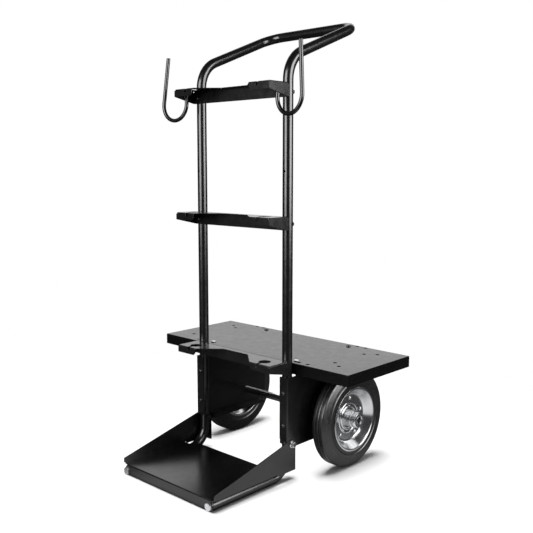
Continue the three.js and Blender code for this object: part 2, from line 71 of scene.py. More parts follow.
SHELF_HALF, SHELF_FRONT_Y, SHELF_REAR_Y, SHELF_TOP_Z, SHELF_SKIRT = 325.0, 13.0, 267.8, 290.6, 27.7
SHELF_HOLE_SHIFT = -4
SHELF_HOLES = ((197, 26.5), (169.5, 26.5), (262, 65), (234.5, 85), (262, 223), (234.5, 204), (198, 260), (171.5, 260))
SHELF_SCREWS = ((150, 34), (150, 244))
BRACKETS = {"lower": 300.2, "middle": 648.5, "upper": 957.4}
BRACKET_FRONT_Y, BRACKET_FRONT_DEPTH, BRACKET_REAR_DEPTH = -78.6, 18.5, 33.1
RECESS_MOUTH, RECESS_BACK, RECESS_BACK_Y = 99.0, 44.5, -29.3
KEY_X, KEY_Y, KEY_R, KEY_SLOT, KEY_DROP = 124.0, -52.0, 15.0, 8.0, 10.0
BRACKET_SCREW_DROP, SPARE_HOLE_Z = 19.5, 754.0
HOOK_R, HOOK_Y, HOOK_BEND_R, HOOK_BOTTOM_Z, HOOK_LEAN, HOOK_TIP_Z = 5.0, -42.5, 40.5, 882.5, math.radians(5.6), 1043.0
HOOK_YAW, HOOK_RAKE = math.radians(5.6), math.tan(math.radians(3.2))
WHEEL_R, WHEEL_X, WHEEL_Y, RIM_R = 125.0, 203.3, 175.6, 83.0
HUB_HALF, HUB_R, AXLE_R, AXLE_BORE_R, AXLE_HALF = 23.3, 22.0, 10.0, 7.5, 239.5
COLLAR_R, COLLAR_END, SET_SCREW_X = 20.0, 240.5, 233.5
RIVETS, RIVET_CIRCLE_R, RIVET_R = 5, 50.7, 5.0
SIDES = (("left", -1), ("right", 1))


def W(p):
    return Vector((p[0] * MM, (p[1] + Y_SHIFT) * MM, p[2] * MM))


# ------------------------------------------------------------------- materials
def node(nt, kind, **values):
    n = nt.nodes.new(kind)
    for k, v in values.items():
        if k in n.inputs:
            n.inputs[k].default_value = v
        else:
            setattr(n, k, v)
    return n


def blank(name):
    m = bpy.data.materials.new(name)
    m.use_nodes = True
    nt = m.node_tree
    b = nt.nodes["Principled BSDF"]
    tc = nt.nodes.new("ShaderNodeTexCoord")
    return m, nt, b, tc.outputs["Object"]


def noise(nt, co, scale, detail=2.0, rough=0.5):
    n = node(nt, "ShaderNodeTexNoise", Scale=scale, Detail=detail, Roughness=rough)
    nt.links.new(co, n.inputs["Vector"])
    return n.outputs["Fac"]


def ramp(nt, fac, stops):
    r = nt.nodes.new("ShaderNodeValToRGB")
    e = r.color_ramp.elements
    while len(e) < len(stops):
        e.new(0.5)
    for el, (pos, c) in zip(e, stops):
        el.position = pos
        el.color = (c[0], c[1], c[2], 1) if hasattr(c, "__len__") else (c, c, c, 1)
    nt.links.new(fac, r.inputs["Fac"])
    return r.outputs["Color"]


def spread(nt, fac, lo, hi, a=0.3, b=0.7):
    m = node(nt, "ShaderNodeMapRange")
    m.inputs["From Min"].default_value, m.inputs["From Max"].default_value = a, b
    m.inputs["To Min"].default_value, m.inputs["To Max"].default_value = lo, hi
    nt.links.new(fac, m.inputs["Value"])
    return m.outputs["Result"]


def bump(nt, b, height, strength, distance, before=None):
    n = node(nt, "ShaderNodeBump", Strength=strength, Distance=distance)
    nt.links.new(height, n.inputs["Height"])
    if before is not None:
        nt.links.new(before, n.inputs["Normal"])
    nt.links.new(n.outputs["Normal"], b.inputs["Normal"])
    return n.outputs["Normal"]


def powder_coat(name, level):
    m, nt, b, co = blank(name)
    tone = noise(nt, co, 34, 4, 0.6)
    nt.links.new(ramp(nt, tone, [(0.3, (0.0013, 0.0013, 0.0014)), (0.7, (0.0027, 0.0027, 0.0029))]), b.inputs["Base Color"])
    nt.links.new(spread(nt, noise(nt, co, 60, 3), 0.215, 0.26), b.inputs["Roughness"])
    bump(nt, b, noise(nt, co, 260, 2, 0.5), 0.012, 0.0001)
    b.inputs["Specular IOR Level"].default_value = level
    return m


def zinc(name, lo, hi, r_lo, r_hi):
    m, nt, b, co = blank(name)
    tone = noise(nt, co, 210, 4, 0.65)
    nt.links.new(ramp(nt, tone, [(0.25, lo), (0.75, hi)]), b.inputs["Base Color"])
    b.inputs["Metallic"].default_value = 1.0
    nt.links.new(spread(nt, noise(nt, co, 420, 3), r_lo, r_hi), b.inputs["Roughness"])
    bump(nt, b, noise(nt, co, 1500, 2, 0.6), 0.05, 0.00005)
    return m


def turned(name, lo, hi, r_lo, r_hi, lines, strength):
    # sheet or bar metal turned or spun about the axle: faint rings round the axis
    m, nt, b, co = blank(name)
    sub = node(nt, "ShaderNodeVectorMath", operation="SUBTRACT")
    sub.inputs[1].default_value = (0, (WHEEL_Y + Y_SHIFT) * MM, WHEEL_R * MM)
    nt.links.new(co, sub.inputs[0])
    flat = node(nt, "ShaderNodeVectorMath", operation="MULTIPLY")
    flat.inputs[1].default_value = (0, 1, 1)
    nt.links.new(sub.outputs[0], flat.inputs[0])
    ln = node(nt, "ShaderNodeVectorMath", operation="LENGTH")
    nt.links.new(flat.outputs[0], ln.inputs[0])
    sep = nt.nodes.new("ShaderNodeSeparateXYZ")
    nt.links.new(sub.outputs[0], sep.inputs[0])
    comb = nt.nodes.new("ShaderNodeCombineXYZ")
    nt.links.new(ln.outputs["Value"], comb.inputs["X"])
    nt.links.new(sep.outputs["X"], comb.inputs["Y"])
    rings = noise(nt, comb.outputs[0], lines, 3, 0.7)
    tone = noise(nt, co, 60, 4, 0.6)
    nt.links.new(ramp(nt, tone, [(0.3, lo), (0.7, hi)]), b.inputs["Base Color"])
    b.inputs["Metallic"].default_value = 1.0
    nt.links.new(spread(nt, rings, r_lo, r_hi), b.inputs["Roughness"])
    n1 = bump(nt, b, rings, strength, 0.00012)
    bump(nt, b, noise(nt, co, 900, 2, 0.6), 0.04, 0.00005, n1)
    return m


def rubber():
    m, nt, b, co = blank("tyre_rubber")
    tone = noise(nt, co, 48, 4, 0.65)
    nt.links.new(ramp(nt, tone, [(0.3, (0.0022, 0.0022, 0.0023)), (0.72, (0.0058, 0.0058, 0.0057))]), b.inputs["Base Color"])
    nt.links.new(spread(nt, noise(nt, co, 120, 3), 0.26, 0.36), b.inputs["Roughness"])
    n1 = bump(nt, b, noise(nt, co, 1400, 3, 0.6), 0.08, 0.0001)
    bump(nt, b, noise(nt, co, 140, 2, 0.5), 0.05, 0.0003, n1)
    b.inputs["Specular IOR Level"].default_value = 0.5
    return m


BLACK = powder_coat("black_powder_coat", 0.5)
BLACK_GLOSS = powder_coat("black_gloss_coat", 0.85)
ZINC = zinc("bright_zinc", (0.60, 0.605, 0.615), (0.74, 0.745, 0.755), 0.2, 0.3)
DARK = zinc("black_zinc", (0.035, 0.036, 0.039), (0.075, 0.076, 0.08), 0.22, 0.36)
RIM = turned("rim_zinc", (0.58, 0.585, 0.595), (0.70, 0.705, 0.715), 0.15, 0.23, 900, 0.05)
STEEL = turned("drawn_steel", (0.52, 0.53, 0.55), (0.66, 0.67, 0.69), 0.12, 0.24, 700, 0.08)
BRONZE = turned("sintered_bronze", (0.42, 0.29, 0.12), (0.55, 0.40, 0.19), 0.34, 0.5, 500, 0.10)
RUBBER = rubber()


# --------------------------------------------------------------------- helpers
def clean(me):
    bm = bmesh.new()
    bm.from_mesh(me)
    bmesh.ops.recalc_face_normals(bm, faces=bm.faces[:])
    bm.to_mesh(me)
    bm.free()


def shade(ob, angle):
    me = ob.data
    me.polygons.foreach_set("use_smooth", [True] * len(me.polygons))
    me.set_sharp_from_angle(angle=math.radians(angle))
    me.update()


def link(name, me, mat, angle=34):
    ob = bpy.data.objects.new(name, me)
    bpy.context.scene.collection.objects.link(ob)
    me.materials.clear()
    me.materials.append(mat)
    shade(ob, angle)
    return ob


def mesh_of(name, *solids):
    verts, faces = [], []
    for v, f in solids:
        k = len(verts)
        verts += [W(p) for p in v]
        faces += [[i + k for i in q] for q in f]
    me = bpy.data.meshes.new(name)
    me.from_pydata(verts, [], faces)
    me.update()
    clean(me)
    return me


def make(name, solids, mat, angle=34):
    return link(name, mesh_of(name, *solids), mat, angle)


def place(ob, body, slot, *nodes):
    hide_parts(*nodes)
    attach(ob, body)
    return ob


def settle(ob):
    dg = bpy.context.evaluated_depsgraph_get()
    me = bpy.data.meshes.new_from_object(ob.evaluated_get(dg))
    ob.modifiers.clear()
    old = ob.data
    ob.data = me
    bpy.data.meshes.remove(old)
    return ob


def carve(ob, solids):
    """Cuts closed solids out of a piece."""
    tool = bpy.data.objects.new("tool", mesh_of("tool", *solids))
    bpy.context.scene.collection.objects.link(tool)
    mod = ob.modifiers.new("cut", "BOOLEAN")
    mod.operation, mod.solver, mod.object = "DIFFERENCE", "EXACT", tool
    mod.use_self = True
    settle(ob)
    me = tool.data
    bpy.data.objects.remove(tool)
    bpy.data.meshes.remove(me)
    return ob


def soften(ob, width, segments=2, angle=42):
    """Rounds the cut edges and evens the shading of the flats."""
    bv = ob.modifiers.new("edge", "BEVEL")
    bv.width, bv.segments, bv.limit_method, bv.angle_limit = width * MM, segments, "ANGLE", math.radians(angle)
    bv.miter_outer = "MITER_ARC"
    bv.use_clamp_overlap = True
    settle(ob)
    shade(ob, 58)
    wn = ob.modifiers.new("normals", "WEIGHTED_NORMAL")
    wn.keep_sharp, wn.weight = True, 60
    settle(ob)
    return ob


def fillet(points, closed=True, seg=4):
    out, n = [], len(points)
    for i, q in enumerate(points):
        p = np.array(q[:2], float)
        r = q[2] if len(q) > 2 else 0
        if r <= 0 or (not closed and i in (0, n - 1)):
            out.append((p[0], p[1]))
            continue
        a, b = np.array(points[i - 1][:2], float) - p, np.array(points[(i + 1) % n][:2], float) - p
        la, lb = np.linalg.norm(a), np.linalg.norm(b)
        u, v = a / la, b / lb
        ang = math.acos(max(-1, min(1, float(u @ v))))
        if ang > math.pi - 1e-3:
            out.append((p[0], p[1]))
            continue
        t = min(r / math.tan(ang / 2), 0.49 * la, 0.49 * lb)
        rr = t * math.tan(ang / 2)
        c = p + (u + v) / np.linalg.norm(u + v) * (rr / math.sin(ang / 2))
        s, e = p + u * t - c, p + v * t - c
        a0, a1 = math.atan2(s[1], s[0]), math.atan2(e[1], e[0])
        d = (a1 - a0 + math.pi) % (2 * math.pi) - math.pi
        for k in range(seg + 1):
            th = a0 + d * k / seg
            out.append((c[0] + rr * math.cos(th), c[1] + rr * math.sin(th)))
    return out


def turn_x(profile, n=96, y=WHEEL_Y, z=WHEEL_R):
    """Closed profile of (x, radius) turned about an axis parallel to X."""
    m, verts, faces = len(profile), [], []
    for i in range(n):
        t = 2 * math.pi * i / n
        verts += [(x, y + r * math.cos(t), z + r * math.sin(t)) for x, r in profile]
    for i in range(n):
        j = (i + 1) % n
        for k in range(m):
            l = (k + 1) % m
            faces.append((i * m + k, i * m + l, j * m + l, j * m + k))
    return verts, faces


def stack(origin, axis, rings, n=48, cap0=True, cap1=True):
    """Rings of (height, radius) along an axis; both may depend on the angle."""
    ax = Vector(axis).normalized()
    u = Vector((0, 0, 1)).cross(ax) if abs(ax.z) < 0.9 else Vector((1, 0, 0))
    u.normalize()
    v = ax.cross(u)
    o = Vector(origin)
    verts, faces = [], []
    for h, r in rings:
        for i in range(n):
            t = 2 * math.pi * i / n
            hh = h(t) if callable(h) else h
            rr = r(t) if callable(r) else r
            verts.append(tuple(o + ax * hh + (u * math.cos(t) + v * math.sin(t)) * rr))
    for k in range(len(rings) - 1):
        for i in range(n):
            j = (i + 1) % n
            faces.append((k * n + i, k * n + j, (k + 1) * n + j, (k + 1) * n + i))
    if cap0:
        faces.append(tuple(range(n - 1, -1, -1)))
    if cap1:
        faces.append(tuple((len(rings) - 1) * n + i for i in range(n)))
    return verts, faces


def tube_between(p0, p1, r_in, r_out, chamfer=0.5, n=48):
    """Round bush or ring between two points, with broken edges."""
    a, b = Vector(p0), Vector(p1)
    ax = (b - a)
    L = ax.length
    c = chamfer
    rings = [(c, r_in), (0, r_in + c), (0, r_out - c), (c, r_out), (L - c, r_out), (L, r_out - c), (L, r_in + c), (L - c, r_in), (c, r_in)]
    v, f = stack(a, ax, rings[:-1], n, False, False)
    m = len(rings) - 1
    for i in range(n):
        j = (i + 1) % n
        f.append(((m - 1) * n + i, (m - 1) * n + j, j, i))
    return v, f


def hexr(af):
    return lambda t: (af / 2) / math.cos((t + math.pi / 6) % (math.pi / 3) - math.pi / 6)


def hex_head(origin, axis, af, h, n=72):
    r, top = hexr(af), 0.94 * af / 2
    k = math.tan(math.radians(30))
    return stack(origin, axis, [
        (0, 0.9 * af / 2), (0, 0.955 * af / 2), (0.35, 0.96 * af / 2), (0.36, lambda t: r(t) - 0.12), (0.5, r),
        (lambda t: h - k * (r(t) - top), r), (h - 0.02, top), (h - 0.02, top - 0.25), (h - 0.16, top - 0.6), (h - 0.16, top - 0.8)], n)


def hex_nut(origin, axis, af, h, bore, n=72, flange=None):
    r, top = hexr(af), 0.94 * af / 2
    k = math.tan(math.radians(30))
    if flange:
        fr, ft = flange
        low = [(0.3, bore), (0, bore + 0.4), (0, fr - 0.3), (0.3, fr), (0.9, fr), (1.2, fr - 0.5), (ft, 0.56 * af + 0.3), (ft + 0.15, r)]
    else:
        low = [(0.4, bore), (0, bore + 0.4), (0, top), (lambda t: k * (r(t) - top), r)]
    rings = low + [(lambda t: h - k * (r(t) - top), r), (h, top), (h, bore + 0.5), (h - 0.5, bore)]
    v, f = stack(origin, axis, rings, n, False, False)
    m = len(rings)
    for i in range(n):
        j = (i + 1) % n
        f.append(((m - 1) * n + i, (m - 1) * n + j, j, i))
    return v, f


def dome(origin, axis, r, h, n=48, steps=9):
    """Plain round head."""
    R = (r * r + h * h) / (2 * h)
    a1 = math.asin(min(1, r / R))
    rings = [(0, r - 0.3), (0, r - 0.1), (0.25, r)]
    for k in range(1, steps):
        a = a1 * (1 - k / steps)
        z = R * math.cos(a) - (R - h)
        if z > 0.4:
            rings.append((z, R * math.sin(a)))
    v, f = stack(origin, axis, rings, n, True, False)
    k = len(v)
    ax = Vector(axis).normalized()
    v.append(tuple(Vector(origin) + ax * h))
    last = (len(rings) - 1) * n
    f += [(last + i, last + (i + 1) % n, k) for i in range(n)]
    return v, f


def button_head(origin, axis, r, h, socket, n=48):
    """Low round head with a hexagon socket."""
    rings = [(0, r - 0.4), (0, r - 0.15), (0.2, r), (0.7, r)]
    for k in range(1, 7):
        a = math.radians(90 * k / 6)
        rings.append((0.7 + (h - 0.7) * math.sin(a), r * 0.56 + r * 0.44 * math.cos(a)))
    s = hexr(socket)
    rings += [(h, lambda t: s(t) + 0.25), (h - 0.25, s), (h * 0.34, s)]
    return stack(origin, axis, rings, n)


def thread(origin, axis, r, L, pitch=1.0, n=32):
    """Bolt shank with a row of thread crests and a chamfered tip."""
    rings = [(0, r)]
    k = max(2, int((L - 2) / pitch))
    for i in range(k):
        z = (L - 1.2) * (i + 0.5) / k
        rings += [(z - 0.22 * pitch, r), (z, r - 0.32 * pitch), (z + 0.22 * pitch, r)]
    rings += [(L - 1.0, r), (L, r - 0.9)]
    return stack(origin, axis, rings, n)


def sweep(stations, nrm, r_out, r_in, sides=44, edge=0.5):
    """Hollow round tube along planar stations of (point, direction)."""
    nrm = Vector(nrm).normalized()
    line = []
    p, t = stations[0]
    line.append((p, t, r_out - edge))
    line.append((p + t * edge, t, r_out))
    line += [(q, d, r_out) for q, d in stations[1:-1]]
    p, t = stations[-1]
    line.append((p - t * edge, t, r_out))
    line.append((p, t, r_out - edge))
    if r_in:
        line.append((p, t, r_in + 0.2))
        line.append((p - t * 0.4, t, r_in))
        line += [(q, d, r_in) for q, d in reversed(stations[1:-1])]
        p, t = stations[0]
        line.append((p + t * 0.4, t, r_in))
        line.append((p, t, r_in + 0.2))
    verts, faces = [], []
    for p, t, r in line:
        b = t.cross(nrm).normalized()
        for i in range(sides):
            a = 2 * math.pi * (i + 0.5) / sides
            verts.append(tuple(p + (nrm * math.cos(a) + b * math.sin(a)) * r))
    m = len(line)
    for k in range(m if r_in else m - 1):
        l = (k + 1) % m
        for i in range(sides):
            j = (i + 1) % sides
            faces.append((k * sides + i, k * sides + j, l * sides + j, l * sides + i))
    if not r_in:
        faces.append(tuple(range(sides)))
        faces.append(tuple((m - 1) * sides + i for i in range(sides)))
    return verts, faces


def bent(corners, bends, steps=26, every=40.0, dense=()):
    """Stations along straight runs and round bends."""
    out = []
    corners = [Vector(c) for c in corners]

    def run(a, b):
        d = (b - a)
        L = d.length
        d.normalize()
        marks = {0.0, L}
        k = max(1, int(L / every))
        marks.update(L * i / k for i in range(k + 1))
        for point, half in dense:
            s = (Vector(point) - a).dot(d)
            if 0 < s < L and (a + d * s - Vector(point)).length < 1:
                marks.update(s + half * q for q in (-2.2, -1.2, 1.2, 2.2))
        for s in sorted(marks):
            if not out or (a + d * s - out[-1][0]).length > 0.05:
                out.append((a + d * s, d.copy()))

    start = corners[0]
    for i in range(1, len(corners) - 1):
        p = corners[i]
        d0 = (p - corners[i - 1]).normalized()
        d1 = (corners[i + 1] - p).normalized()
        turn = d0.angle(d1)
        r = bends[i - 1]
        s = p - d0 * (r * math.tan(turn / 2))
        run(start, s)
        axis = d0.cross(d1).normalized()
        centre = s + axis.cross(d0) * r
        arm = s - centre
        for k in range(1, steps + 1):
            m = Matrix.Rotation(turn * k / steps, 3, axis)
            out.append((centre + m @ arm, m @ d0))
        start = out[-1][0].copy()
    run(start, corners[-1])
    return out


def cyl(axis, r, a, b, c, d, n=40):
    """Cutting cylinder along one axis, from a to b, at the two other coordinates."""
    if axis == "x":
        return stack((a, c, d), (1, 0, 0), [(0, r), (b - a, r)], n)
    if axis == "y":
        return stack((c, a, d), (0, 1, 0), [(0, r), (b - a, r)], n)
    return stack((c, d, a), (0, 0, 1), [(0, r), (b - a, r)], n)


def block(x0, x1, y0, y1, z0, z1):
    v = [(x, y, z) for x in (x0, x1) for y in (y0, y1) for z in (z0, z1)]
    f = [(0, 1, 3, 2), (4, 6, 7, 5), (0, 4, 5, 1), (2, 3, 7, 6), (0, 2, 6, 4), (1, 5, 7, 3)]
    return v, f


def folded(name, panels, folds, ref, cuts, mat, edge=0.4):
    """A folded sheet: flat panels that meet in bends, given on one side of the sheet."""
    bm = bmesh.new()
    cache = {}

    def vert(p):
        key = tuple(round(c, 2) for c in p)
        if key not in cache:
            cache[key] = bm.verts.new(W(p))
        return cache[key]

    for poly in panels:
        bm.faces.new([vert(p) for p in poly])
    bmesh.ops.recalc_face_normals(bm, faces=bm.faces[:])
    bm.faces.ensure_lookup_table()
    bm.normal_update()
    if bm.faces[0].normal.dot(Vector(ref)) < 0:
        bmesh.ops.reverse_faces(bm, faces=bm.faces[:])
    for radius in sorted({f[2] for f in folds}, reverse=True):
        edges = []
        for p, q, r in folds:
            if r != radius:
                continue
            a, b = W(p), W(q)
            hit = [e for e in bm.edges
                   if min((e.verts[0].co - a).length + (e.verts[1].co - b).length,
                          (e.verts[0].co - b).length + (e.verts[1].co - a).length) < 2e-5]
            if not hit:
                raise RuntimeError(f"{name}: no fold from {p} to {q}")
            edges += hit
        bmesh.ops.bevel(bm, geom=edges, offset=radius * MM, offset_type="OFFSET", segments=6, profile=0.5,
                        affect="EDGES", clamp_overlap=False)
    me = bpy.data.meshes.new(name)
    bm.to_mesh(me)
    bm.free()
    ob = link(name, me, mat)
    so = ob.modifiers.new("sheet", "SOLIDIFY")
    so.thickness, so.offset, so.use_even_offset, so.use_quality_normals = SHEET * MM, -1.0, True, True
    settle(ob)
    if cuts:
        carve(ob, cuts)
    return soften(ob, edge)


# ------------------------------------------------------------------ tube frame
arm = Vector((0, math.cos(ARM_ANGLE), math.sin(ARM_ANGLE)))


def arm_z(y):
    return ARM_KNEE_Z + y * math.tan(ARM_ANGLE)


tube_front = TRAY_FRONT_Y + SHEET + GAP
for side, s in SIDES:
    x = s * TUBE_X
    seam = Vector((x, SEAM_Y, arm_z(SEAM_Y))) - arm * 0.15
    stations = bent(
        [(x, tube_front, TUBE_R), (x, 0, TUBE_R), (x, 0, ARM_KNEE_Z), seam], [FOOT_BEND_R, TOP_BEND_R], 30, 30.0,
        dense=[((x, 0, SPARE_HOLE_Z), 3.4)])
    ob = make(f"frame_tube_{side}_skin", [sweep(stations, (1, 0, 0), TUBE_R, TUBE_R - TUBE_WALL, 48)], BLACK)
    holes = [cyl("y", 3.4, -20, 20 if level != "lower" else 0, x, top - BRACKET_SCREW_DROP, 28) for level, top in BRACKETS.items()]
    holes += [cyl("y", 3.4, -20, 0, x, z, 28) for z in (*PLATE_SCREW_Z, SPARE_HOLE_Z)]
    holes.append(cyl("x", 4.4, x - 20, x + 20, 0, GUSSET_BOLT_Z, 28))
    carve(ob, holes)
    shade(ob, 34)
    place(ob, "chassis", "black_coat", f"frame_tube_{side}")

    mid = Vector((x, SEAM_Y, arm_z(SEAM_Y)))
    ob = make(f"handle_sleeve_{side}_skin", [tube_between(mid - arm * SLEEVE_BACK, mid + arm * SLEEVE_FRONT, 8.0, 10.0)], STEEL)
    place(ob, "chassis", "steel", f"handle_sleeve_{side}")

    ob = make(f"tube_insert_{side}_skin",
              [tube_between((x, tube_front + 0.5, TUBE_R), (x, tube_front + 22.5, TUBE_R), 5.0, 10.0, 0.6)], STEEL)
    place(ob, "chassis", "steel", f"tube_insert_{side}")

    # hexagon bolt in the end of the tube
    ob = make(f"foot_bolt_{side}_skin", [
        hex_head((x, TRAY_FRONT_Y - GAP, TUBE_R), (0, -1, 0), 17, 6.4),
        thread((x, TRAY_FRONT_Y - 0.2, TUBE_R), (0, 1, 0), 4.7, 22, 1.5)], ZINC)
    place(ob, "chassis", "zinc", f"foot_bolt_{side}")

    # cross bolt, head inside, flanged nut outside
    ob = make(f"gusset_bolt_{side}_skin", [
        hex_head((s * (TUBE_X - TUBE_R - GAP), 0, GUSSET_BOLT_Z), (-s, 0, 0), 13, 5.3),
        thread((s * (TUBE_X - TUBE_R - 0.2), 0, GUSSET_BOLT_Z), (s, 0, 0), 4.0, GUSSET_X + 11 - TUBE_X + TUBE_R + 0.2, 1.25)], DARK)
    place(ob, "chassis", "dark_fastener", f"gusset_bolt_{side}")
    ob = make(f"gusset_nut_{side}_skin",
              [hex_nut((s * (GUSSET_X + GAP), 0, GUSSET_BOLT_Z), (s, 0, 0), 13, 8.2, 4.25, flange=(9.0, 2.6))], ZINC)
    place(ob, "chassis", "zinc", f"gusset_nut_{side}")

stations = bent(
    [Vector((-TUBE_X, SEAM_Y, arm_z(SEAM_Y))) + arm * 0.15, (-TUBE_X, HANDLE_Y, arm_z(HANDLE_Y)),
     (TUBE_X, HANDLE_Y, arm_z(HANDLE_Y)), Vector((TUBE_X, SEAM_Y, arm_z(SEAM_Y))) + arm * 0.15],
    [HANDLE_CORNER_R, HANDLE_CORNER_R], 30, 30.0)
ob = make("handle_bar_skin", [sweep(stations, arm.cross(Vector((1, 0, 0))), TUBE_R, TUBE_R - TUBE_WALL, 48)], BLACK)
place(ob, "chassis", "black_coat", "handle_bar")

# ------------------------------------------------------------------- foot tray
R = 3.0
zb = TRAY_TOP_Z - SHEET
yl = TRAY_FRONT_Y + SHEET          # rear face of the front lip
yr = -PANEL_Y                      # rear face of the folded flange behind the upright
fold0, fold1 = TRAY_FRONT_Y + 4.6, -58.0
slope = (99 - GUSSET_FRONT_Z) / (-14.9 - TRAY_FRONT_Y)


def on_slope(y):
    return GUSSET_FRONT_Z + slope * (y - TRAY_FRONT_Y)


half = [(155, yl), (155, yl + 2.4), (156.6, yl + 2.4), (156.6, yl - 0.6), (164.2, yl - 0.6), (164.2, fold0), (GUSSET_X, fold0), (GUSSET_X, fold1), (134, fold1), (134, TRAY_REAR_Y)]
plate = [(x, y, zb) for x, y in half] + [(-x, y, zb) for x, y in reversed(half)]
end = [(TUBE_X + 12 * math.cos(a), TUBE_R + 12 * math.sin(a)) for a in np.linspace(math.acos(5 / 12), -math.pi / 2, 26)]
lip = [(155, zb)] + end + [(-x, z) for x, z in reversed(end)] + [(-155, zb)]
panels = [plate, [(x, yl, z) for x, z in lip]]
folds = [((-155, yl, zb), (155, yl, zb), 1.0)]
for s in (1, -1):
    X = s * GUSSET_X
    g = [(fold0, zb), (fold1, zb), (fold1, 29.2), (fold1 + 2.5, 29.2, 1), (fold1 + 2.5, GUSSET_LOW_Z),
         (yr, GUSSET_LOW_Z), (yr, GUSSET_REAR_TOP_Z), (yr - 4.5, GUSSET_REAR_TOP_Z), (yr - 4.5, GUSSET_REAR_TOP_Z + 3.5, 1), (yr, GUSSET_REAR_TOP_Z + 3.5),
         (yr, 92, 6), (10.5, 99.5, 4), (3, 103.2, 3), (-2.5, on_slope(-2.5), 4),
         (TRAY_FRONT_Y, on_slope(TRAY_FRONT_Y), 2.5), (TRAY_FRONT_Y, 27.9), (fold0, 27.9)]
    outline = fillet(g, seg=4)
    panels.append([(X, y, z) for y, z in outline])
    folds.append(((X, fold0, zb), (X, fold1, zb), R))
    fl = fillet([(X, GUSSET_LOW_Z), (s * 140.1, GUSSET_LOW_Z, 3), (s * 140.1, GUSSET_REAR_TOP_Z, 3), (X, GUSSET_REAR_TOP_Z)], seg=4)
    panels.append([(x, yr, z) for x, z in fl])
    folds.append(((X, yr, GUSSET_LOW_Z), (X, yr, GUSSET_REAR_TOP_Z), R))
cuts = []
for s in (1, -1):
    cuts.append(cyl("y", 5.3, TRAY_FRONT_Y - 6, TRAY_FRONT_Y + 8, s * TUBE_X, TUBE_R, 32))
    cuts.append(cyl("x", 4.4, s * GUSSET_X - 6, s * GUSSET_X + 6, 0, GUSSET_BOLT_Z, 32))
ob = folded("foot_tray_skin", panels, folds, (0, 0, -1), cuts, BLACK)
place(ob, "chassis", "black_coat", "foot_tray")

# ----------------------------------------------------------------- side plates
top = SHELF_TOP_Z - SHEET - GAP
step = SHELF_FRONT_Y + SHEET + 1.5
for side, s in SIDES:
    X, xi = s * PLATE_X, s * PLATE_FLANGE_IN
    web = fillet([
        (PANEL_Y, PLATE_FLANGE_LOW_Z), (PANEL_Y + 4.5, PLATE_FLANGE_LOW_Z), (PANEL_Y + 4.5, 91, 4), (-4, PLATE_LOW_Z, 4),
        (12, PLATE_LOW_Z), (12, 85, 1), (16.5, 85, 1), (16.5, PLATE_LOW_Z), (230, PLATE_LOW_Z), (230, 85, 1), (234.5, 85, 1), (234.5, PLATE_LOW_Z),
        (238, PLATE_LOW_Z), (PLATE_REAR_Y, PLATE_LOW_Z + 12), (PLATE_REAR_Y, top), (step, top), (step, PLATE_NECK_Z, 1.5), (PANEL_Y, PLATE_NECK_Z)], seg=4)
    panels = [[(X, y, z) for y, z in web]]
    fl = fillet([(X, PLATE_FLANGE_LOW_Z), (xi, PLATE_FLANGE_LOW_Z, 7), (xi, PLATE_NECK_Z, 3), (X, PLATE_NECK_Z)], seg=6)
    panels.append([(x, PANEL_Y, z) for x, z in fl])
    fl = fillet([(X, step), (xi, step, 4), (xi, PLATE_REAR_Y, 4), (X, PLATE_REAR_Y)], seg=5)
    panels.append([(x, y, top) for x, y in fl])
    fl = fillet([(X, 16.5), (s * 139.6, 16.5, 4), (s * 139.6, 230, 6), (X, 230)], seg=5)
    panels.append([(x, y, PLATE_LOW_Z) for x, y in fl])
    folds = [((X, PANEL_Y, PLATE_FLANGE_LOW_Z), (X, PANEL_Y, PLATE_NECK_Z), R), ((X, step, top), (X, PLATE_REAR_Y, top), R),
             ((X, 16.5, PLATE_LOW_Z), (X, 230, PLATE_LOW_Z), R)]
    cuts = [cyl("x", AXLE_R + 0.35, X - 8, X + 8, WHEEL_Y, WHEEL_R, 48), cyl("x", 4.4, X - 8, X + 8, 0, GUSSET_BOLT_Z, 32)]
    cuts += [cyl("y", 3.4, PANEL_Y - 6, PANEL_Y + 6, s * TUBE_X, z, 28) for z in PLATE_SCREW_Z]
    cuts += [cyl("z", 3.4, top - 8, top + 8, s * x, y, 28) for x, y in SHELF_SCREWS]
    ob = folded(f"side_plate_{side}_skin", panels, folds, (s, 0, 0), cuts, BLACK)
    place(ob, "chassis", "black_coat", f"side_plate_{side}")

    for z, level in zip(PLATE_SCREW_Z, ("lower", "upper")):
        ob = make(f"side_plate_screw_{level}_{side}_skin", [
            button_head((s * TUBE_X, PANEL_Y - GAP, z), (0, -1, 0), 6.0, 3.6, 4.0),
            thread((s * TUBE_X, PANEL_Y - 0.2, z), (0, 1, 0), 3.0, 12, 1.0)], DARK)
        place(ob, "chassis", "dark_fastener", f"side_plate_screw_{level}_{side}")
    for (x, y), level in zip(SHELF_SCREWS, ("front", "rear")):
        seat, stem = (s * x, y, SHELF_TOP_Z + GAP), thread((s * x, y, SHELF_TOP_Z + 0.2), (0, 0, -1), 3.0, SHELF_TOP_Z - top + SHEET + 8, 1.0)
        if level == "front":
            ob = make(f"shelf_screw_{level}_{side}_skin", [stack(seat, (0, 0, 1), [(0, 6.0), (0.5, 6.9), (1.3, 6.9), (1.9, 6.5), (2.2, 5.9), (2.3, 5.0)], 48), stem], ZINC)
            place(ob, "chassis", "zinc", f"shelf_screw_{level}_{side}")
        else:
            ob = make(f"shelf_screw_{level}_{side}_skin", [button_head(seat, (0, 0, 1), 6.0, 3.0, 4.0), stem], DARK)
            place(ob, "chassis", "dark_fastener", f"shelf_screw_{level}_{side}")

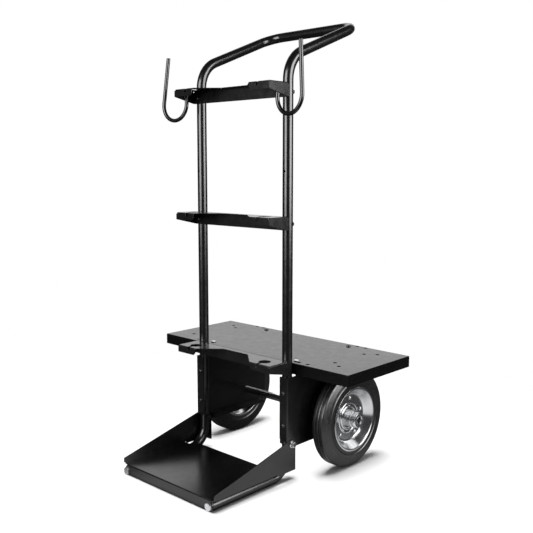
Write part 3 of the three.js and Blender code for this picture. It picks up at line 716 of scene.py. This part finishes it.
# ----------------------------------------------------------------------- shelf
X, y0, y1, zt, zl = SHELF_HALF, SHELF_FRONT_Y, SHELF_REAR_Y, SHELF_TOP_Z, SHELF_TOP_Z - SHELF_SKIRT
c = [(-X, y0), (X, y0), (X, y1), (-X, y1)]
panels = [[(x, y, zt) for x, y in c]]
folds = []
for i in range(4):
    (xa, ya), (xb, yb) = c[i], c[(i + 1) % 4]
    panels.append([(xa, ya, zt), (xb, yb, zt), (xb, yb, zl), (xa, ya, zl)])
    folds.append(((xa, ya, zt), (xb, yb, zt), 1.7))
    folds.append(((xa, ya, zt), (xa, ya, zl), 1.7))
cuts = []
for s in (1, -1):
    cuts += [cyl("z", 5.1, zt - 12, zt + 12, SHELF_HOLE_SHIFT + s * x, y, 36) for x, y in SHELF_HOLES]
    cuts += [cyl("z", 3.4, zt - 12, zt + 12, s * x, y, 28) for x, y in SHELF_SCREWS]
ob = folded("shelf_tray_skin", panels, folds, (0, 0, 1), cuts, BLACK)
place(ob, "chassis", "black_coat", "shelf_tray")

# ---------------------------------------------------------------- the brackets
yf, yb, n = BRACKET_FRONT_Y, PANEL_Y + SHEET, 3.4
for level, t in BRACKETS.items():
    xe = PLATE_X - n
    corner = [(RECESS_MOUTH, yf), (xe, yf), (xe, yf + n), (PLATE_X, yf + n), (PLATE_X, yb - n), (xe, yb - n), (xe, yb)]
    left = [(-x, y) for x, y in reversed(corner)]
    ring = left + fillet([(-RECESS_MOUTH, yf), (-RECESS_BACK, RECESS_BACK_Y, 5), (RECESS_BACK, RECESS_BACK_Y, 5), (RECESS_MOUTH, yf)], closed=False, seg=5)[1:-1] + corner
    panels = [[(x, y, t) for x, y in ring]]
    folds = [((-xe, yb, t), (xe, yb, t), R)]
    panels.append([(x, yb, z) for x, z in fillet([
        (xe, t), (xe, t - 3.7), (xe + 1.1, t - 3.7), (xe + 1.1, t - BRACKET_REAR_DEPTH, 2), (-xe - 1.1, t - BRACKET_REAR_DEPTH, 2),
        (-xe - 1.1, t - 3.7), (-xe, t - 3.7), (-xe, t)], seg=4)])
    cuts = []
    for s in (1, -1):
        panels.append([(s * PLATE_X, y, z) for y, z in fillet([
            (yf + n, t), (yf + n, t - 3.7), (yf + 0.15, t - 3.7), (yf + 0.15, t - BRACKET_FRONT_DEPTH, 2), (yb - 0.1, t - BRACKET_REAR_DEPTH, 2),
            (yb - 0.1, t - 3.7), (yb - n, t - 3.7), (yb - n, t)], seg=4)])
        folds.append(((s * PLATE_X, yf + n, t), (s * PLATE_X, yb - n, t), R))
        panels.append([(s * x, yf, z) for x, z in fillet([
            (RECESS_MOUTH, t), (RECESS_MOUTH, t - 12.5), (RECESS_MOUTH + 6, t - BRACKET_FRONT_DEPTH), (xe + 1.1, t - BRACKET_FRONT_DEPTH, 1.5),
            (xe + 1.1, t - 3.7), (xe, t - 3.7), (xe, t)], seg=4)])
        folds.append(((s * RECESS_MOUTH, yf, t), (s * xe, yf, t), R))
        cuts.append(cyl("z", KEY_R, t - 8, t + 8, s * KEY_X, KEY_Y, 56))
        h = KEY_SLOT / 2
        slot = [(h, KEY_DROP - h), (h, -6), (-h, -6), (-h, KEY_DROP - h)] + [
            (-h * math.cos(math.pi * k / 12), KEY_DROP - h + h * math.sin(math.pi * k / 12)) for k in range(1, 12)]
        m = len(slot)
        v = [(s * KEY_X + a, yy, t - b) for yy in (yf - 6, KEY_Y) for a, b in slot]
        f = [tuple(range(m)), tuple(range(2 * m - 1, m - 1, -1))] + [(i, (i + 1) % m, m + (i + 1) % m, m + i) for i in range(m)]
        cuts.append((v, f))
        cuts.append(cyl("y", 3.4, yb - 8, yb + 8, s * TUBE_X, t - BRACKET_SCREW_DROP, 28))
    ob = folded(f"bracket_{level}_skin", panels, folds, (0, 0, 1), cuts, BLACK_GLOSS if level == "lower" else BLACK)
    place(ob, "chassis", "black_coat", f"bracket_{level}")

    for side, s in SIDES:
        z = t - BRACKET_SCREW_DROP
        through = level != "lower"
        ob = make(f"bracket_screw_{level}_{side}_skin", [
            button_head((s * TUBE_X, PANEL_Y - GAP, z), (0, -1, 0), 5.6, 3.4, 4.0),
            thread((s * TUBE_X, PANEL_Y - 0.2, z), (0, 1, 0), 3.0, (TUBE_R + 7.5 if through else -TUBE_R + 9) - PANEL_Y + 0.2, 1.0)], DARK)
        place(ob, "chassis", "dark_fastener", f"bracket_screw_{level}_{side}")
        if through:
            ob = make(f"bracket_nut_{level}_{side}_skin", [hex_nut((s * TUBE_X, TUBE_R + GAP, z), (0, 1, 0), 10, 5.2, 3.2)], DARK)
            place(ob, "chassis", "dark_fastener", f"bracket_nut_{level}_{side}")

# ----------------------------------------------------------------- cable hooks
for side, s in SIDES:
    t = BRACKETS["upper"]
    xin = PLATE_X - SHEET - GAP - HOOK_R
    zc = HOOK_BOTTOM_Z + HOOK_BEND_R
    st = []

    def hook_y(u, z):
        return HOOK_Y - u * math.sin(HOOK_YAW) + (z - t) * HOOK_RAKE

    def put(u, z, du, dz):
        st.append((Vector((s * (xin + u * math.cos(HOOK_YAW)), hook_y(u, z), z)),
                   Vector((s * du * math.cos(HOOK_YAW), -du * math.sin(HOOK_YAW) + dz * HOOK_RAKE, dz)).normalized()))

    for k in range(7):
        put(0, (t - SHEET - GAP) + (zc - (t - SHEET - GAP)) * k / 7, 0, -1)
    for k in range(49):
        a = math.pi + (math.pi + HOOK_LEAN) * k / 48
        put(HOOK_BEND_R + HOOK_BEND_R * math.cos(a), zc + HOOK_BEND_R * math.sin(a), -math.sin(a), math.cos(a))
    ue, ze = HOOK_BEND_R + HOOK_BEND_R * math.cos(HOOK_LEAN), zc + HOOK_BEND_R * math.sin(HOOK_LEAN)
    for k in range(1, 7):
        z = ze + (HOOK_TIP_Z - ze) * k / 6
        put(ue - (z - ze) * math.tan(HOOK_LEAN), z, -math.sin(HOOK_LEAN), math.cos(HOOK_LEAN))
    ob = make(f"cable_hook_{side}_skin", [sweep(st, (0, 1, 0), HOOK_R, None, 32, 0.9)], BLACK)
    place(ob, "chassis", "black_coat", f"cable_hook_{side}")

    # weld beads that hold the hook to the inside of the bracket's flank
    for k, dy in enumerate((-1, 1)):
        rng = np.random.default_rng(11 + k + (s > 0) * 5)
        bead = []
        zs = np.linspace(t - 5.0, t - 22.0, 30)
        for i, z in enumerate(zs):
            wob = 0.22 * math.sin(i * 2.1) + float(rng.normal(0, 0.06))
            bead.append((Vector((s * (xin + 3.55 + 0.1 * wob), hook_y(0, float(z)) + dy * (4.15 + 0.25 * wob), float(z))), Vector((0, 0, -1))))
        v, f = sweep(bead, (1, 0, 0), 1.55, None, 14, 0.6)
        ob = make(f"hook_weld_{side}_{k}", [(v, f)], BLACK, 60)
        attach(ob, "chassis")

# ------------------------------------------------------------ axle and wheels
ob = make("axle_skin", [turn_x(fillet([
    (-AXLE_HALF, AXLE_BORE_R, 0.6), (AXLE_HALF, AXLE_BORE_R, 0.6), (AXLE_HALF, AXLE_R, 0.9), (-AXLE_HALF, AXLE_R, 0.9)], seg=3), 64)], STEEL)
place(ob, "chassis", "steel", "axle")

for side, s in SIDES:
    body = f"{side}_wheel"

    def at(profile):
        return [(s * (WHEEL_X + dx), r) for dx, r in profile]

    ob = make(f"axle_spacer_{side}_skin", [tube_between(
        (s * (PLATE_X + GAP), WHEEL_Y, WHEEL_R), (s * (WHEEL_X - HUB_HALF - 0.7), WHEEL_Y, WHEEL_R), AXLE_R + 0.3, 15, 0.7, 56)], STEEL)
    place(ob, "chassis", "steel", f"axle_spacer_{side}")

    ob = make(f"axle_collar_{side}_skin", [tube_between(
        (s * (WHEEL_X + HUB_HALF + 0.8), WHEEL_Y, WHEEL_R), (s * COLLAR_END, WHEEL_Y, WHEEL_R), AXLE_R + 0.3, COLLAR_R, 1.1, 72)], ZINC)
    carve(ob, [cyl("y", 3.3, WHEEL_Y - 30, WHEEL_Y, s * SET_SCREW_X, WHEEL_R, 32)])
    soften(ob, 0.3)
    place(ob, "chassis", "zinc", f"axle_collar_{side}")

    sock = hexr(3.0)
    ob = make(f"collar_set_screw_{side}_skin", [stack((s * SET_SCREW_X, WHEEL_Y - AXLE_R - GAP, WHEEL_R), (0, -1, 0), [
        (0, 2.0), (0.8, 3.0), (9.8, 3.0), (10.4, 2.5), (10.4, lambda a: sock(a) + 0.2), (10.2, sock), (7.4, sock)], 48)], STEEL)
    place(ob, "chassis", "steel", f"collar_set_screw_{side}")

    ob = make(f"wheel_hub_{side}_skin", [turn_x(at(fillet([
        (-HUB_HALF, 14.5, 0.6), (HUB_HALF, 14.5, 0.6), (HUB_HALF, HUB_R, 1.6), (5.5, HUB_R), (4.2, HUB_R + 0.25), (-4.2, HUB_R + 0.25), (-5.5, HUB_R), (-HUB_HALF, HUB_R, 1.6)], seg=5)), 96)], ZINC)
    place(ob, body, "zinc", f"wheel_hub_{side}")
    for face, a, b in (("inner", -HUB_HALF + 0.2, -HUB_HALF + 16), ("outer", HUB_HALF - 16, HUB_HALF - 0.2)):
        ob = make(f"hub_bush_{face}_{side}_skin", [tube_between(
            (s * (WHEEL_X + a), WHEEL_Y, WHEEL_R), (s * (WHEEL_X + b), WHEEL_Y, WHEEL_R), AXLE_R + 0.45, 14.1, 0.5, 56)], BRONZE)
        place(ob, body, "bronze", f"hub_bush_{face}_{side}")

    # pressed rim halves: stiffening beads round the hub, deep cone, rolled lip
    outer_line = [(2.15, HUB_R + 0.4, 0.5), (2.15, 26.2, 2), (3.7, 28.0, 1.4), (3.7, 30.2, 1.4), (2.15, 32.2, 2), (2.15, 35.4, 2), (3.2, 37.2, 1.4), (3.2, 38.8, 1.4),
                  (2.15, 40.8, 2), (2.15, 57.6, 2.5), (3.4, 60.8, 2), (7.2, 64.4, 4), (20.4, 74.6, 5), (22.6, 76.6, 3), (24, 78.6, 2)]
    inner_line = [(24, RIM_R, 0.95), (22, RIM_R, 0.95), (22, 79.2, 2), (18.8, 76.4, 3), (5.6, 66.2, 3), (1.5, 61.8, 2), (0.15, 58.6, 2), (0.15, HUB_R + 0.4, 0.5)]
    prof = fillet(outer_line + inner_line, seg=5)
    for face, f in (("outer", 1), ("inner", -1)):
        solids = [turn_x(at([(f * dx, r) for dx, r in prof]), 120)]
        for k in range(RIVETS):
            a = math.radians(85 + 72 * k)
            y, z = WHEEL_Y + RIVET_CIRCLE_R * math.cos(a), WHEEL_R + RIVET_CIRCLE_R * math.sin(a)
            solids.append(dome((s * (WHEEL_X + f * 2.2), y, z), (s * f, 0, 0), RIVET_R, 3.3, 36))
        ob = make(f"rim_{face}_{side}_skin", solids, RIM)
        place(ob, body, "rim_zinc", f"rim_{face}_{side}")

    # solid tyre: three tread ribs, shoulder, raised ring on the side wall
    wall = [(5.5, 66.8), (19.4, 77.8, 1), (21.5, 79.4, 1), (21.5, 88.6, 3), (22.0, 91.2, 1.5), (23.5, 93.4, 1.2), (23.5, 98.2, 1.2), (22.3, 100.6, 1.5),
            (20.9, 107.8, 6), (17.4, 119.0, 2), (15.9, 122.7, 1.2), (14.2, 124.4, 1.2), (6.2, 124.75, 0.8), (5.7, 122.2, 0.6), (4.1, 122.3, 0.6), (3.6, 124.85, 0.8)]
    tyre = [(0, 61.2)] + wall + [(0, WHEEL_R, 6)] + [(-q[0], *q[1:]) for q in reversed(wall)]
    ob = make(f"tyre_{side}_skin", [turn_x(at(fillet(tyre, seg=4)), 144)], RUBBER)
    place(ob, body, "tyre_rubber", f"tyre_{side}")

# ------------------------------------------------------- camera, light and floor
cam_data = bpy.data.cameras.new("camera")
cam = bpy.data.objects.new("camera", cam_data)
bpy.context.scene.collection.objects.link(cam)
az, pitch = math.radians(43.4024), math.radians(7.4965)
back = Vector((math.sin(az) * math.cos(pitch), -math.cos(az) * math.cos(pitch), math.sin(pitch)))
right = Vector((math.cos(az), math.sin(az), 0))
up = back.cross(right)
m = Matrix((right, up, back)).transposed().to_4x4()
m.translation = Vector((1.3617, -1.3717, 0.7672))
cam.matrix_world = m
cam_data.sensor_fit, cam_data.sensor_width, cam_data.lens = "HORIZONTAL", 36.0, 766.97 / 533 * 36.0
cam_data.clip_start, cam_data.clip_end = 0.05, 60
bpy.context.scene.camera = cam


def softbox(name, azimuth, distance, z, width, height, radiance, aim_z):
    """Large area light at an azimuth round the cart, aimed at its middle."""
    d = bpy.data.lights.new(name, "AREA")
    d.shape, d.size, d.size_y = "RECTANGLE", width, height
    d.energy = radiance * math.pi * width * height
    o = bpy.data.objects.new(name, d)
    bpy.context.scene.collection.objects.link(o)
    a = math.radians(azimuth)
    o.location = (math.sin(a) * distance, -math.cos(a) * distance, z)
    o.rotation_euler = (Vector((0, 0, aim_z)) - o.location).to_track_quat("-Z", "Y").to_euler()
    o.visible_camera = False
    return o


left_box = softbox("softbox_left", -6, 2.7, 1.45, 2.2, 2.1, 11.0, 0.75)
right_box = softbox("softbox_right", 105, 2.7, 1.45, 2.28, 2.1, 13.0, 0.75)
left_low = softbox("softbox_left_metal", -6, 2.7, 1.45, 2.2, 2.1, 3.0, 0.75)
right_low = softbox("softbox_right_metal", 105, 2.7, 1.45, 2.28, 2.1, 3.0, 0.75)
rear_low = softbox("softbox_rear_rim", 164, 2.7, 2.1, 2.2, 1.9, 1.25, 0.3)
rear_box = softbox("panel_back", 223.4, 3.4, 2.15, 4.2, 2.9, 1.2, 0.75)


def overhead(name, x, y, z, width, depth, radiance):
    d = bpy.data.lights.new(name, "AREA")
    d.shape, d.size, d.size_y = "RECTANGLE", width, depth
    d.energy = radiance * math.pi * width * depth
    o = bpy.data.objects.new(name, d)
    bpy.context.scene.collection.objects.link(o)
    o.location = (x, y, z)
    o.rotation_euler = (Vector((0, 0, 0.1)) - o.location).to_track_quat("-Z", "Y").to_euler()
    o.visible_camera = False
    return o


def only(light, objects, state="INCLUDE", blockers=None):
    c = bpy.data.collections.new(light.name + "_lit")
    for ob in objects:
        c.objects.link(ob)
    light.light_linking.receiver_collection = c
    for e in c.collection_objects:
        e.light_linking.link_state = state
    if blockers is not None:
        c = bpy.data.collections.new(light.name + "_shade")
        for ob in blockers:
            c.objects.link(ob)
        light.light_linking.blocker_collection = c
        for e in c.collection_objects:
            e.light_linking.link_state = "INCLUDE"


metal = [ob for ob in bpy.context.scene.objects if ob.type == "MESH" and ob.data.materials and ob.data.materials[0] in (ZINC, RIM, STEEL)]
low = [ob for ob in bpy.context.scene.objects if ob.name.startswith(("tyre_", "rim_", "foot_tray", "frame_tube")) and ob.name.endswith("_skin")]
top_box = overhead("top_light", -0.1, 0.1, 2.3, 1.2, 1.2, 2.2)
floor_box = overhead("floor_light", -0.04, -0.06, 2.4, 1.4, 1.4, 15.0)

world = bpy.data.worlds.new("studio")
bpy.context.scene.world = world
world.use_nodes = True
nt = world.node_tree
nt.nodes.clear()
out = nt.nodes.new("ShaderNodeOutputWorld")
mix = nt.nodes.new("ShaderNodeMixShader")
path = nt.nodes.new("ShaderNodeLightPath")
white = node(nt, "ShaderNodeBackground", Strength=1.0)
white.inputs["Color"].default_value = (1, 1, 1, 1)
soft = node(nt, "ShaderNodeBackground", Strength=0.25)
soft.inputs["Color"].default_value = (1, 1, 1, 1)
seen = nt.nodes.new("ShaderNodeMixShader")
nt.links.new(path.outputs["Is Camera Ray"], seen.inputs[0])
nt.links.new(soft.outputs[0], seen.inputs[1])
nt.links.new(white.outputs[0], seen.inputs[2])
dim = node(nt, "ShaderNodeBackground", Strength=1.0)
dim.inputs["Color"].default_value = (0.05, 0.05, 0.052, 1)
nt.links.new(path.outputs["Is Glossy Ray"], mix.inputs[0])
nt.links.new(seen.outputs[0], mix.inputs[1])
nt.links.new(dim.outputs[0], mix.inputs[2])
nt.links.new(mix.outputs[0], out.inputs["Surface"])

# round pale floor that fades out into the white surround
fl_v, fl_f = [(0, 17.5, 0)], []
for k in range(1, 13):
    fl_v += [(2400 * k / 12 * math.cos(2 * math.pi * i / 96), 17.5 + 2400 * k / 12 * math.sin(2 * math.pi * i / 96), 0) for i in range(96)]
fl_f += [(0, 1 + i, 1 + (i + 1) % 96) for i in range(96)]
for k in range(11):
    fl_f += [(1 + k * 96 + i, 1 + (k + 1) * 96 + i, 1 + (k + 1) * 96 + (i + 1) % 96, 1 + k * 96 + (i + 1) % 96) for i in range(96)]
fm = bpy.data.materials.new("pale_floor")
fm.use_nodes = True
nt = fm.node_tree
nt.nodes.clear()
out = nt.nodes.new("ShaderNodeOutputMaterial")
tc = nt.nodes.new("ShaderNodeTexCoord")
ln = node(nt, "ShaderNodeVectorMath", operation="LENGTH")
nt.links.new(tc.outputs["Object"], ln.inputs[0])
fade = node(nt, "ShaderNodeMapRange", interpolation_type="SMOOTHSTEP")
fade.inputs["From Min"].default_value, fade.inputs["From Max"].default_value = 0.55, 1.25
nt.links.new(ln.outputs["Value"], fade.inputs["Value"])
direct = node(nt, "ShaderNodeBsdfDiffuse")
direct.inputs["Color"].default_value = (0.86, 0.86, 0.865, 1)
# in reflections the floor's colour is painted: a painted shadow, dark (0.055) under the cart's footprint and beyond
# about half a metre, brighter (0.60) only on the open floor beside and in front of it
mirrored = node(nt, "ShaderNodeBsdfDiffuse")
shift = node(nt, "ShaderNodeVectorMath", operation="SUBTRACT")
shift.inputs[1].default_value = (0.30, -0.20, 0)
nt.links.new(tc.outputs["Object"], shift.inputs[0])
far = node(nt, "ShaderNodeVectorMath", operation="LENGTH")
nt.links.new(shift.outputs[0], far.inputs[0])
rim = node(nt, "ShaderNodeMapRange", interpolation_type="SMOOTHSTEP")
rim.inputs["From Min"].default_value, rim.inputs["From Max"].default_value = 0.36, 0.56
nt.links.new(far.outputs["Value"], rim.inputs["Value"])
sep = nt.nodes.new("ShaderNodeSeparateXYZ")
nt.links.new(tc.outputs["Object"], sep.inputs[0])
beside = node(nt, "ShaderNodeMapRange", interpolation_type="SMOOTHSTEP")
beside.inputs["From Min"].default_value, beside.inputs["From Max"].default_value = 0.15, 0.19
nt.links.new(sep.outputs["X"], beside.inputs["Value"])
before = node(nt, "ShaderNodeMapRange", interpolation_type="SMOOTHSTEP")
before.inputs["From Min"].default_value, before.inputs["From Max"].default_value = -0.27, -0.29
nt.links.new(sep.outputs["Y"], before.inputs["Value"])
open_floor = node(nt, "ShaderNodeMath", operation="MAXIMUM")
nt.links.new(beside.outputs["Result"], open_floor.inputs[0])
nt.links.new(before.outputs["Result"], open_floor.inputs[1])
near = node(nt, "ShaderNodeMapRange")
near.inputs["To Min"].default_value, near.inputs["To Max"].default_value = 1.0, 0.0
nt.links.new(rim.outputs["Result"], near.inputs["Value"])
# mask of the painted reflection: 1 where the reflected floor is painted bright, 0 where it is painted dark as shade
painted_reflection_mask = node(nt, "ShaderNodeMath", operation="MULTIPLY")
nt.links.new(open_floor.outputs[0], painted_reflection_mask.inputs[0])
nt.links.new(near.outputs["Result"], painted_reflection_mask.inputs[1])
nt.links.new(ramp(nt, painted_reflection_mask.outputs[0], [(0.0, (0.055, 0.055, 0.056)), (1.0, (0.60, 0.60, 0.605))]), mirrored.inputs["Color"])
path = nt.nodes.new("ShaderNodeLightPath")
pale = nt.nodes.new("ShaderNodeMixShader")
nt.links.new(path.outputs["Is Glossy Ray"], pale.inputs[0])
nt.links.new(direct.outputs[0], pale.inputs[1])
nt.links.new(mirrored.outputs[0], pale.inputs[2])
clear = nt.nodes.new("ShaderNodeBsdfTransparent")
mix = nt.nodes.new("ShaderNodeMixShader")
nt.links.new(fade.outputs["Result"], mix.inputs[0])
nt.links.new(pale.outputs[0], mix.inputs[1])
nt.links.new(clear.outputs[0], mix.inputs[2])
nt.links.new(mix.outputs[0], out.inputs["Surface"])
me = bpy.data.meshes.new("floor")
me.from_pydata([W(p) for p in fl_v], [], fl_f)
me.materials.append(fm)
floor = bpy.data.objects.new("floor", me)
floor.location.z = -0.0004
bpy.context.scene.collection.objects.link(floor)

deck = [bpy.data.objects["shelf_tray_skin"]]
only(left_box, [floor] + metal + deck, "EXCLUDE")
only(right_box, [floor] + metal + deck, "EXCLUDE")
only(left_low, metal + deck)
only(right_low, metal + deck)
axle_box = overhead("axle_light", -1.9, 1.0, 2.2, 1.6, 1.4, 4.5)
shaft = [ob for ob in metal if ob.name == "axle_skin"]
only(axle_box, shaft, "INCLUDE", shaft)
only(rear_low, [ob for ob in metal if ob.data.materials[0] is RIM])
only(rear_box, [floor], "EXCLUDE")
only(top_box, [ob for ob in metal if ob.data.materials[0] is not RIM])
only(floor_box, [floor], "INCLUDE", low)

bpy.context.scene.view_settings.view_transform = "Standard"

# ------------------------------------------------------------------------ update
bpy.context.view_layer.update()
